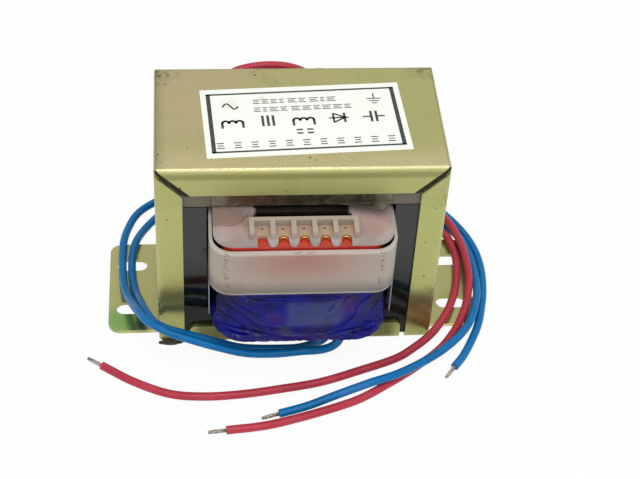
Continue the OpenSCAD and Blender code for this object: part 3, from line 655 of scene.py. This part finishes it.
stain = stain * nylon.clouds(1.3, detail=4).between(0.42, 0.6)
milk = nylon.mix(milk, nylon.colour(92, 52, 26), stain * 0.8)
rim_dirt = 1.0 - abs(nylon.y + FLANGE_HALF_DEPTH - 0.7).between(0.2, 0.7)
rim_dirt = rim_dirt * nylon.x.between(16, 19) * above
rim_dirt = rim_dirt * nylon.clouds(0.9, detail=3).between(0.5, 0.62)
milk = nylon.mix(milk, nylon.colour(74, 56, 40), rim_dirt * 0.7)
crest = raised * nylon.z.between(COMB_TOP - 0.5, COMB_TOP - 0.05)
milk = nylon.mix(milk, nylon.colour(178, 164, 148), crest * 0.8)
# Painted shadow: the flange behind the comb is made nearly black.
painted_shadow_behind_comb = (1.0 - abs(nylon.x).between(13.6, 14.6)) * (1.0 - (0.0 - nylon.y).between(30.6, 31.2))
painted_shadow_behind_comb = painted_shadow_behind_comb * nylon.z.between(FLANGE_TOP - 2.5, FLANGE_TOP - 1.5) * (1.0 - raised)
milk = nylon.mix(milk, nylon.colour(18, 16, 12), painted_shadow_behind_comb * 0.97)
nylon.set("Base Color", milk)
nylon.set("Roughness", 0.33 + haze * 0.15 - painted_shadow_behind_comb * 0.2)
nylon.relief(haze + cloud * 1.5, 0.06)
nylon.cover(nodes["bobbin"])


# ---- Windings ----
# Enamelled copper wound in two sections. The upper one is closed with red polyester tape,
# and the lower one with many turns of blue film, pulled tight and folded over the flanges.

WIRE_RIDGES = 12.0

enamel = Finish("enamelled_copper", Metallic=1.0, Coat_Weight=0.8, Coat_Roughness=0.05)
enamel_turns = (enamel.z * WIRE_RIDGES).sine() * 0.5 + 0.5
copper = enamel.mix((0.72, 0.3, 0.06, 1), (0.98, 0.56, 0.14, 1), enamel.clouds(1.5))
# Painted shade: the copper is made nearly black above about 32 mm, short of the front and back.
painted_shade_on_copper = (1.0 - abs(enamel.y).between(32, 34)) * enamel.z.between(30, 34)
enamel.set("Base Color", enamel.mix(copper, (0.012, 0.01, 0.007, 1), painted_shade_on_copper))
enamel.set("Roughness", 0.14 + enamel_turns * 0.05)
enamel.cover(nodes["primary_winding"], nodes["secondary_winding"], nodes["primary_wire_ends"])

red_film = Finish("red_tape", IOR=1.5, Coat_Weight=0.5, Coat_Roughness=0.08)
red_lines = red_film.clouds(1.6, detail=3, place=red_film.stretched(0.3, 0.3, 1.6))
red_colour = red_film.mix((0.42, 0.02, 0.014, 1), (0.62, 0.045, 0.025, 1), red_lines)
soaked_ends = red_film.x.between(21, 23.5).most((0.0 - red_film.x).between(23, 25))
red_film.set("Base Color", red_film.mix(red_colour, red_film.colour(30, 20, 14), soaked_ends))
red_film.set("Roughness", 0.22 + red_lines * 0.1)
red_film.relief(red_lines, 0.1)
red_film.cover(nodes["primary_tape"])

FILM_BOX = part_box("secondary_tape")
FILM_BOTTOM = FILM_BOX[0][2] / mm
FILM_TOP = FILM_BOX[1][2] / mm
FILM_HALF_WIDTH = 26.75
FILM_REACH = 39.25
FILM_CORNER = 11.0
CROWN_RADIUS = 51.4
CREASE_HEIGHT = 0.42
FILM_AROUND = 560
FILM_ROWS = 84
FILM_WALL = 0.35 * mm


def soft_step(value, low, high):
    """0 up to low, 1 from high on, and smooth between them."""
    t = min(max((value - low) / (high - low), 0.0), 1.0)
    return t * t * (3 - 2 * t)


def rounded_outline(share, half_width, reach, radius):
    """The point and the way out of it, a share of the way round a box with round corners."""
    side = reach - radius
    arc = radius * math.pi / 2
    end = half_width - radius
    quarter, along = divmod(share * 4, 1)
    if quarter % 2:
        along = 1 - along
    along *= side + arc + end
    if along < side:
        point = Vector((half_width, along, 0))
        out = Vector((1, 0, 0))
    elif along < side + arc:
        angle = (along - side) / radius
        out = Vector((math.cos(angle), math.sin(angle), 0))
        point = Vector((half_width - radius, reach - radius, 0)) + radius * out
    else:
        point = Vector((end - (along - side - arc), reach, 0))
        out = Vector((0, 1, 0))
    flip = Vector((1 if quarter in (0, 3) else -1, 1 if quarter in (0, 1) else -1, 1))
    return point * flip, out * flip


def ridge_across(value, middle, width):
    """A smooth ridge, 1 at the middle, that dies away over a width on both sides."""
    return math.exp(-(((value - middle) / width) ** 2))


def crease(x, height, seed, pitch):
    """Ridges of pulled film that hang like a chain from the upper corners of a face."""
    depth = math.hypot(x, (FILM_TOP + 2 - height) * 1.35)
    drift = noise.noise(Vector((x / 11, height / 8, seed))) * 3.0
    ridge = 1 - abs(noise.noise(Vector(((depth + drift) / pitch, x / 70, seed + 3))))
    return max(0.0, ridge - 0.82) / 0.18


def film_point(share, t):
    """Where the film lies, a share of the way round and t of the way up."""
    height = FILM_BOTTOM + t * (FILM_TOP + 0.3 - FILM_BOTTOM)
    skirt = 1 - soft_step(t, 0.03, 0.16)
    collar = soft_step(t, 0.9, 0.94)
    lapped = max(skirt, collar)
    half_width = FILM_HALF_WIDTH + 0.55 * lapped
    reach = FILM_REACH + 0.5 * lapped
    radius = FILM_CORNER - 0.6 * skirt - 4.6 * collar
    point, out = rounded_outline(share, half_width, reach, radius)
    facing = soft_step(abs(out.y), 0.2, 0.9)
    side = math.copysign(1, point.y)
    front = soft_step(abs(point.y), 15, 28)
    # The front and back faces are crowned, and swell where the winding presses.
    crowned = reach + 0.35 - CROWN_RADIUS + math.sqrt(CROWN_RADIUS**2 - point.x**2)
    crowned += 8 * lapped
    point.y = side * min(abs(point.y), crowned)
    seed = 11.0 if side > 0 else 1.0
    slope = point.x * -side + 2.0
    swell = 1.5 * soft_step(t, 0.0, 0.22) * (1 - soft_step(t, 0.5, 0.85))
    point.y += side * swell * facing * (1 - min(abs(point.x) / 26, 1) ** 2)
    # A flat square patch in the middle is stretched tight, and has no creases.
    patch = (1 - soft_step(abs(slope - 1.5), 8.0, 9.0)) * facing
    patch *= soft_step(t, 0.36, 0.4) * (1 - soft_step(t, 0.78, 0.82))
    flank = 0.25 + 0.75 * soft_step(abs(slope), 6, 11)
    fold = crease(slope, height, seed, 5.2) * CREASE_HEIGHT
    fold += crease(slope, height, seed + 20, 2.4) * 0.05
    loose = noise.noise(Vector((point.x / 9, point.y / 9, height / 6 + seed)))
    inside = soft_step(t, 0.0, 0.1) * (1 - soft_step(t, 0.86, 0.9))
    shift = (fold * flank * (1 - patch) + 0.25 * loose * (1 - 0.9 * patch)) * inside
    # Two ledges of rolled edge run under the shroud, and a lobe stands out at each lower corner.
    wander = 0.012 * noise.noise(Vector((slope / 6, seed, 0.5)))
    ledge = ridge_across(t, 0.865 + wander, 0.016)
    ledge += 0.7 * ridge_across(t, 0.79 + 2 * wander, 0.012)
    lobe = ridge_across(t, 0.17, 0.07) * soft_step(abs(slope), 12, 19) * front
    point += out * (shift + 0.4 * ledge * facing + 0.55 * lobe)
    # The lower edge is ragged and lifts at the corners.
    ragged = abs(noise.noise(point * 0.4)) * 0.7 + noise.noise(point * 1.9) * 0.1
    corner_lift = 0.5 * soft_step(abs(point.x), 15, 27)
    point.z = height + (ragged + corner_lift) * (1 - soft_step(t, 0, 0.14))
    return point * mm


def wound_film():
    """The blue film as one skin from the flange edge to the middle flange."""
    bm = bmesh.new()
    sheet = bmesh.ops.create_grid(bm, x_segments=FILM_AROUND, y_segments=FILM_ROWS, size=0.5)
    for vertex in sheet["verts"]:
        vertex.co = film_point((vertex.co.x + 0.5) % 1.0, vertex.co.y + 0.5)
    bmesh.ops.remove_doubles(bm, verts=bm.verts, dist=0.01 * mm)
    bmesh.ops.recalc_face_normals(bm, faces=bm.faces)
    return bm


blue_wrap = mesh_piece("blue_film_wrap", wound_film())
film_wall = blue_wrap.modifiers.new("film_wall", "SOLIDIFY")
film_wall.thickness = FILM_WALL
film_wall.offset = -1

blue_film = Finish(
    "blue_film", IOR=1.4, Specular_IOR_Level=0.25, Coat_IOR=1.7, Coat_Roughness=0.04
)
depth_patches = blue_film.clouds(6, detail=3, place=blue_film.stretched(1, 1, 1.4), warp=0.6)
blue_colour = blue_film.mix(
    (0.001, 0.002, 0.075, 1), (0.002, 0.005, 0.19, 1), depth_patches.between(0.35, 0.65)
)
# Painted reflection: a flat patch in the middle of the film is painted slate blue, as the sky
# mirrored in it.
painted_sky_reflection = 1.0 - abs(blue_film.x - 4).between(7.0, 10.0)
painted_sky_reflection = painted_sky_reflection * (1.0 - abs(blue_film.z - 28.5).between(3.0, 6.0))
blue_colour = blue_film.mix(blue_colour, (0.022, 0.04, 0.15, 1), painted_sky_reflection * 0.65)
shaded = (1.0 - blue_film.x.between(-23, -18)).most(blue_film.x.between(20, 23))
shaded = shaded * blue_film.z.between(23, 29)
blue_colour = blue_film.mix(blue_colour, (0.002, 0.003, 0.02, 1), shaded * 0.85)
purple = blue_film.near(15, -39, 31, 1, 6).most(blue_film.near(-8, -40, 27, 1, 4))
blue_colour = blue_film.mix(blue_colour, (0.07, 0.015, 0.14, 1), purple * 0.45)
olive_stain = blue_film.near(-5, -40.5, 22, 0, 4)
blue_colour = blue_film.mix(blue_colour, (0.05, 0.06, 0.03, 1), olive_stain * 0.6)
blue_film.set("Base Color", blue_colour)
streak = blue_film.clouds(3.2, detail=2, place=blue_film.stretched(0.6, 0.6, 1.5), warp=1.2)
wet = (1.0 - abs(streak - 0.5).between(0.0, 0.014)) * blue_film.clouds(8).between(0.5, 0.6)
wet = wet.most(painted_sky_reflection * 0.25)
blue_film.set("Coat Weight", wet * (1.0 - shaded))
blue_film.set("Roughness", 0.12 + depth_patches * 0.1)
blue_film.relief(blue_film.clouds(2.6, detail=1, warp=0.4), 0.05)
blue_film.cover(blue_wrap)
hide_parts("secondary_tape")
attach(blue_wrap, "root")


# ---- Shroud ----
# Two bent bands of milky plastic, slipped over the red tape from the front and the back.
# The tape and the copper shine through the middle of the wall.

SHROUD_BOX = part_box("shroud_front")
SHROUD_BOTTOM = SHROUD_BOX[0][2] / mm
SHROUD_TOP = SHROUD_BOX[1][2] / mm
SHROUD_CORNER = 22.5

shroud_plastic = Finish("milky_plastic", IOR=1.5)
shroud_cloud = shroud_plastic.clouds(10, detail=4)
shroud_haze = shroud_plastic.clouds(2.2, detail=4)
milky = shroud_plastic.mix(
    shroud_plastic.colour(174, 168, 150), shroud_plastic.colour(160, 146, 136), shroud_cloud
)
pink = 1.0 - abs(shroud_plastic.x + 1).between(0, 29)
pink = pink * shroud_plastic.z.between(SHROUD_BOTTOM, 52)
milky = shroud_plastic.mix(milky, shroud_plastic.colour(164, 112, 104), pink * 0.9)
lower = 1.0 - shroud_plastic.z.between(SHROUD_BOTTOM, SHROUD_BOTTOM + 7)
milky = shroud_plastic.mix(milky, shroud_plastic.colour(92, 84, 80), lower * 0.75)
upper_rim = shroud_plastic.z.between(SHROUD_TOP - 1.6, SHROUD_TOP - 0.4)
lower_rim = 1.0 - shroud_plastic.z.between(SHROUD_BOTTOM + 0.2, SHROUD_BOTTOM + 0.9)
rims = upper_rim.most(lower_rim * 0.6)
milky = shroud_plastic.mix(milky, shroud_plastic.colour(206, 198, 186), rims * 0.75)
corner_line = abs(shroud_plastic.x) - SHROUD_CORNER - shroud_haze * 1.4
corner_line = 1.0 - abs(corner_line).between(0.3, 1.2)
grit = shroud_plastic.clouds(0.7, detail=3).between(0.5, 0.62)
grit = grit * shroud_plastic.clouds(6, place=shroud_plastic.stretched(1, 1, 0.5))
corner_dirt = corner_line * grit
milky = shroud_plastic.mix(milky, shroud_plastic.colour(70, 58, 44), corner_dirt * 1.2)
tan = shroud_plastic.near(-21, -38, SHROUD_BOTTOM + 1.5, 1, 6)
milky = shroud_plastic.mix(milky, shroud_plastic.colour(128, 98, 66), tan * shroud_haze * 0.9)
shroud_plastic.set("Base Color", milky)
shroud_plastic.set("Roughness", 0.28 + shroud_cloud * 0.15 + corner_dirt * 0.2)
shroud_plastic.relief(shroud_cloud * 1.4 + shroud_haze * 0.25, 0.12)
shroud_plastic.cover(nodes["shroud_front"], nodes["shroud_back"])


# ---- Insulation ----
# A strip of varnished paper closes the window under the top yoke, and a strip of film
# stands between the secondary and each outer leg.

paper = Finish("varnished_paper", IOR=1.5, Coat_Weight=0.4, Coat_Roughness=0.1)
paper_stain = paper.clouds(4, detail=5)
paper_fold = paper.clouds(2.2, detail=2, warp=1.5)
soaked_in = paper_stain.between(0.3, 0.8)
brown = paper.mix(paper.colour(72, 52, 38), paper.colour(104, 76, 58), soaked_in)
green_brown = paper.mix(paper.colour(54, 50, 34), paper.colour(84, 78, 56), soaked_in)
paper_colour = paper.mix(brown, green_brown, paper.x.between(-12, 2))
paper_ends = abs(paper.x).between(21, 24)
paper_colour = paper.mix(paper_colour, paper.colour(126, 118, 104), paper_ends * 0.85)
glint = (1.0 - abs(paper_fold - 0.5).between(0.0, 0.03)) * paper.clouds(3).between(0.45, 0.6)
paper_colour = paper.mix(paper_colour, paper.colour(190, 178, 156), glint * 0.5)
paper.set("Base Color", paper_colour)
paper.set("Roughness", 0.25 + paper_stain * 0.3)
paper.relief(paper_fold, 0.4)
paper.cover(nodes["yoke_insulation"])

liner = Finish("liner_film", IOR=1.5)
liner_haze = liner.clouds(4, detail=4)
liner.set("Base Color", liner.mix(
    liner.colour(116, 116, 120), liner.colour(150, 150, 154), liner_haze
))
liner.set("Roughness", 0.25 + liner_haze * 0.2)
liner.relief(liner_haze, 0.2)
liner.cover(nodes["leg_liner_left"], nodes["leg_liner_right"])


# ---- Label ----
# A paper label on the top of the cover. It is printed in black with a border, ruled dashes
# and a row of common circuit symbols: coil, core, coil, rectifier and capacitor.

LABEL_TURN = math.radians(3.0)
LABEL_MIDDLE = Vector((1.7, -1.7)) * mm
LABEL_WIDTH = 61.8 * mm
LABEL_DEPTH = 32.0 * mm
PAPER_THICKNESS = 0.12 * mm
INK_THICKNESS = 0.015 * mm
BORDER_WIDTH = 58.4
BORDER_DEPTH = 27.8
BORDER_LINE = 0.75
BORDER_END_LINE = 1.3
SYMBOL_SPACING = 10.8
SYMBOL_LINE = 0.8
THIN_LINE = 0.64
DASH_UNIT = 0.72
DASH_GAP = 0.55
DASH_LINE = 0.36
RULE_LINE = 0.42
RULE_GROUPS = 11
label_place = (
    Matrix.Translation((LABEL_MIDDLE.x, LABEL_MIDDLE.y, cad_box[1][2]))
    @ Matrix.Rotation(LABEL_TURN, 4, "Z")
)

bm = bmesh.new()
bmesh.ops.create_cube(
    bm, size=1,
    matrix=label_place @ Matrix.Translation((0, 0, PAPER_THICKNESS / 2))
    @ Matrix.Diagonal((LABEL_WIDTH, LABEL_DEPTH, PAPER_THICKNESS, 1)),
)
label = mesh_piece("label", bm, rounded=False)
label_paper = Finish("label_paper", IOR=1.45)
label_fibres = label_paper.clouds(0.7, detail=3)
label_clouds = label_paper.clouds(12, detail=3)
label_tone = label_paper.mix(
    label_paper.colour(240, 244, 234), label_paper.colour(247, 249, 242), label_clouds
)
smudge = label_paper.near(-21, 5.5, COVER_TOP, 0, 4) * label_fibres
smudge = smudge.most(label_paper.near(-11, 8.5, COVER_TOP, 0, 1.5))
label_paper.set("Base Color", label_paper.mix(
    label_tone, label_paper.colour(200, 190, 140), smudge * 0.5
))
label_paper.set("Roughness", 0.5 + label_fibres * 0.1)
label_paper.relief(label_fibres, 0.01)
label_paper.cover(label)
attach(label, "root")

ink = bmesh.new()


def ink_line(x, y, width, depth, lean=0.0):
    """A printed rectangle, in millimetres from the middle of the label."""
    bmesh.ops.create_cube(
        ink, size=1,
        matrix=label_place @ Matrix.Translation((x * mm, y * mm, PAPER_THICKNESS))
        @ Matrix.Rotation(lean, 4, "Z")
        @ Matrix.Diagonal((width * mm, depth * mm, 2 * INK_THICKNESS, 1)),
    )


def ink_hump(x, y, radius):
    """A printed half ring, the turn of a coil, drawn with short straight lines."""
    steps = 8
    chord = 2 * radius * math.sin(math.pi / steps / 2)
    for i in range(steps):
        angle = math.pi * (i + 0.5) / steps
        ink_line(
            x + radius * math.cos(angle), y + radius * math.sin(angle),
            chord + SYMBOL_LINE * 0.4, SYMBOL_LINE, angle + math.pi / 2,
        )


def ink_coil(x, y):
    """A printed coil of three turns, with a short line down at each end."""
    for i in (-1, 0, 1):
        ink_hump(x + i * 2.1, y - 0.6, 1.05)
    for side in (-1, 1):
        ink_line(x + side * 3.15, y - 1.7, SYMBOL_LINE, 2.4)


for side in (-1, 1):
    ink_line(0, side * (BORDER_DEPTH - BORDER_LINE) / 2, BORDER_WIDTH, BORDER_LINE)
    ink_line(side * (BORDER_WIDTH - BORDER_END_LINE) / 2, 0, BORDER_END_LINE, BORDER_DEPTH)

# Two rows of dashes along the top, of uneven lengths, where 0 leaves a gap.
for y, dashes in (
    (9.4, (3, 3, 3, 2, 0, 4, 3, 0, 4, 2, 4)),
    (5.6, (3, 2, 4, 3, 0, 4, 4, 3, 4, 4, 3)),
):
    x = -15.0
    for dash in dashes:
        length = dash * DASH_UNIT
        if dash:
            ink_line(x + length / 2, y + 0.75, length, DASH_LINE)
            ink_line(x + dash * 0.3, y - 0.1, dash * 0.5, DASH_LINE)
            ink_line(x + length / 2, y - 0.9, length, DASH_LINE)
        x += length + DASH_GAP

# One wave of alternating current at the left, and the lines of an earth at the right.
for i in range(24):
    phase = 2 * math.pi * i / 24
    x = -22 + (phase - math.pi) * 0.75
    y = 7.6 + 1.3 * math.sin(phase)
    ink_line(x, y, 0.62, 0.5, math.atan(math.cos(phase) * 1.7))
for i in (0, 1, 2):
    ink_line(22.4, 8.6 - i * 1.1, 4.4 - i * 1.4, RULE_LINE)
ink_line(22.4, 9.9, RULE_LINE, 2.4)

# The row of symbols: a coil, a core, a coil, a rectifier and a capacitor.
ink_coil(-2 * SYMBOL_SPACING - 0.4, 0.2)
for i in (-1, 0, 1):
    ink_line(-SYMBOL_SPACING - 0.4 + i * 1.6, 0.1, SYMBOL_LINE, 5.0)
ink_coil(-0.4, 0.2)
ink_line(SYMBOL_SPACING - 0.4, 0.1, 6.0, THIN_LINE)
ink_line(SYMBOL_SPACING + 1.4, 0.1, SYMBOL_LINE, 4.4)
for side in (-1, 1):
    ink_line(SYMBOL_SPACING - 0.3, 0.1 + side * 1.1, 3.9, THIN_LINE, -side * 0.55)
ink_line(SYMBOL_SPACING - 2.0, 0.1, THIN_LINE, 4.4)
for side in (-1, 1):
    ink_line(2 * SYMBOL_SPACING - 0.4 + side * 0.8, 0.1, SYMBOL_LINE, 5.0)
    ink_line(2 * SYMBOL_SPACING - 0.4 + side * 2.2, 0.1, 2.4, THIN_LINE)

# Four short dashes under the middle, and groups of three rules along the bottom.
for side in (-1, 1):
    ink_line(-0.5 + side * 1.6, -4.7, 1.9, 0.7)
    ink_line(-0.5 + side * 1.6, -6.3, 1.9, 0.7)
for i in range(RULE_GROUPS):
    x = -26.4 + i * 5.15
    for y, width in ((-9.5, 2.2), (-10.6, 1.7), (-11.7, 2.2)):
        ink_line(x, y, width, RULE_LINE)

bmesh.ops.remove_doubles(ink, verts=ink.verts, dist=0.0001 * mm)
label_print = mesh_piece("label_print", ink, rounded=False)
ink_finish = Finish("printing_ink", IOR=1.45)
ink_wear = ink_finish.clouds(0.5, detail=3)
ink_finish.set("Base Color", ink_finish.mix(
    ink_finish.colour(44, 50, 44), ink_finish.colour(96, 102, 94), ink_wear.between(0.4, 0.75)
))
ink_finish.set("Roughness", 0.45 + ink_wear * 0.2)
ink_finish.cover(label_print)
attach(label_print, "root")


# ---- Floor and light ----
# A white sheet lies under the part. A broad soft panel and a short strip hang over it, in a
# white tent that is darker near the floor.

FLOOR_HALF_WIDTH = 1.5
FLOOR_GLOW = 0.93
MIRRORED_GLOW = 0.7
HORIZON_GLOW = 0.3
ZENITH_GLOW = 0.82
ZENITH_HEIGHT = 0.7
PANEL_POWER = 2.3
PANEL_SIZE = (0.8, 0.7)
PANEL_PLACE = (0, -0.4, 0.65)
PANEL_TILT = math.radians(33)
STRIP_POWER = 0.2
STRIP_SIZE = (0.12, 0.03)
STRIP_PLACE = (0, -0.08, 0.62)

bm = bmesh.new()
bmesh.ops.create_grid(bm, x_segments=1, y_segments=1, size=FLOOR_HALF_WIDTH)
floor = mesh_piece("floor", bm, rounded=False)
floor_finish = Finish("white_floor", Roughness=0.9)
floor_finish.surface.inputs["Base Color"].default_value = (0.9, 0.9, 0.9, 1)
floor_finish.surface.inputs["Specular IOR Level"].default_value = 0.0
seen = floor_finish.node("ShaderNodeLightPath", {}, {}, "Is Camera Ray") * FLOOR_GLOW
mirrored = floor_finish.node("ShaderNodeLightPath", {}, {}, "Is Glossy Ray")
mirrored = mirrored.most(floor_finish.node("ShaderNodeLightPath", {}, {}, "Is Transmission Ray"))
glow = seen.most(mirrored * MIRRORED_GLOW)
white = floor_finish.node("ShaderNodeEmission", {}, {"Color": (1, 1, 1, 1), "Strength": 1.0})
paper_white = floor_finish.node(
    "ShaderNodeMixShader", {},
    {0: glow, 1: Value(floor_finish, floor_finish.surface.outputs[0]), 2: white},
)
floor_output = floor_finish.tree.nodes["Material Output"]
floor_finish.tree.links.new(paper_white.socket, floor_output.inputs["Surface"])
floor_finish.cover(floor)

world = bpy.data.worlds.new("tent")
bpy.context.scene.world = world
world.use_nodes = True
sky = world.node_tree
background = sky.nodes["Background"]
direction = sky.nodes.new("ShaderNodeTexCoord")
heights = sky.nodes.new("ShaderNodeSeparateXYZ")
sky.links.new(direction.outputs["Generated"], heights.inputs[0])
gradient = sky.nodes.new("ShaderNodeMapRange")
gradient.inputs["From Min"].default_value = 0.0
gradient.inputs["From Max"].default_value = ZENITH_HEIGHT
gradient.inputs["To Min"].default_value = HORIZON_GLOW
gradient.inputs["To Max"].default_value = ZENITH_GLOW
sky.links.new(heights.outputs["Z"], gradient.inputs["Value"])
path = sky.nodes.new("ShaderNodeLightPath")
strength = sky.nodes.new("ShaderNodeMath")
strength.operation = "MAXIMUM"
sky.links.new(gradient.outputs["Result"], strength.inputs[0])
sky.links.new(path.outputs["Is Camera Ray"], strength.inputs[1])
background.inputs["Color"].default_value = (1, 1, 1, 1)
sky.links.new(strength.outputs[0], background.inputs["Strength"])


def soft_lamp(name, size, power, place, tilt):
    """A rectangular lamp that faces down and is tilted towards the back."""
    lamp = bpy.data.lights.new(name, "AREA")
    lamp.shape = "RECTANGLE"
    lamp.size, lamp.size_y = size
    lamp.energy = power
    hung = bpy.data.objects.new(name, lamp)
    hung.location = place
    hung.rotation_euler = (tilt, 0, 0)
    bpy.context.collection.objects.link(hung)


soft_lamp("overhead_panel", PANEL_SIZE, PANEL_POWER, PANEL_PLACE, PANEL_TILT)
soft_lamp("strip", STRIP_SIZE, STRIP_POWER, STRIP_PLACE, 0)
